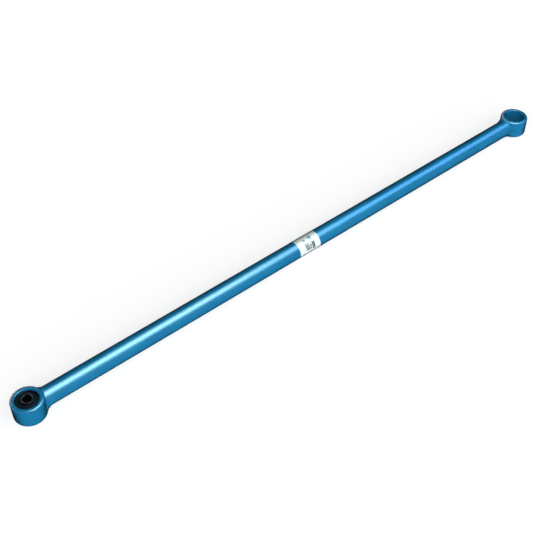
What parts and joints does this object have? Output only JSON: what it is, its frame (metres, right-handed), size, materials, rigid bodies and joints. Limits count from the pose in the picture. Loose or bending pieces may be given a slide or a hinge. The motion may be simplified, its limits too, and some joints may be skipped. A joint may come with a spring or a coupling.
{
  "type": "lateral rod",
  "caption": "Straight tubular lateral rod with a welded eye at each end and a rubber bush in the near eye; it locates an axle sideways.",
  "frame": {"origin": "on the tube's axis, midway between the two eyes' axes", "axes": "+X along the rod from the bushed near eye to the open far eye, +Z along both eyes' axes, +Y completes a right-handed set"},
  "size_m": [1.011, 0.046, 0.033],
  "materials": {
    "blue_paint": "semi-gloss metallic blue enamel over steel",
    "sleeve_steel": "turned steel, darkened",
    "bush_rubber": "moulded black rubber",
    "label_foil": "silvery white foil"
  },
  "bodies": {
    "rod": {"rod_tube": "blue_paint", "near_eye": "blue_paint", "far_eye": "blue_paint", "near_weld": "blue_paint", "far_weld": "blue_paint", "bush_outer_sleeve": "sleeve_steel", "label": "label_foil"},
    "rubber": {"bush_rubber": "bush_rubber"},
    "inner_sleeve": {"bush_inner_sleeve": "sleeve_steel"}
  },
  "joints": [
    {"name": "bush_tilt", "type": "hinge", "parent": "rod", "child": "rubber", "pos_m": [-0.4825, 0, 0], "axis": [0, 1, 0], "range_deg": [-5, 5], "stiffness_Nm_per_rad": 150, "deforming": ["bush_rubber"]},
    {"name": "bush_twist", "type": "hinge", "parent": "rubber", "child": "inner_sleeve", "pos_m": [-0.4825, 0, 0], "axis": [0, 0, 1], "range_deg": [-25, 25], "stiffness_Nm_per_rad": 50, "deforming": ["bush_rubber"]}
  ]
}
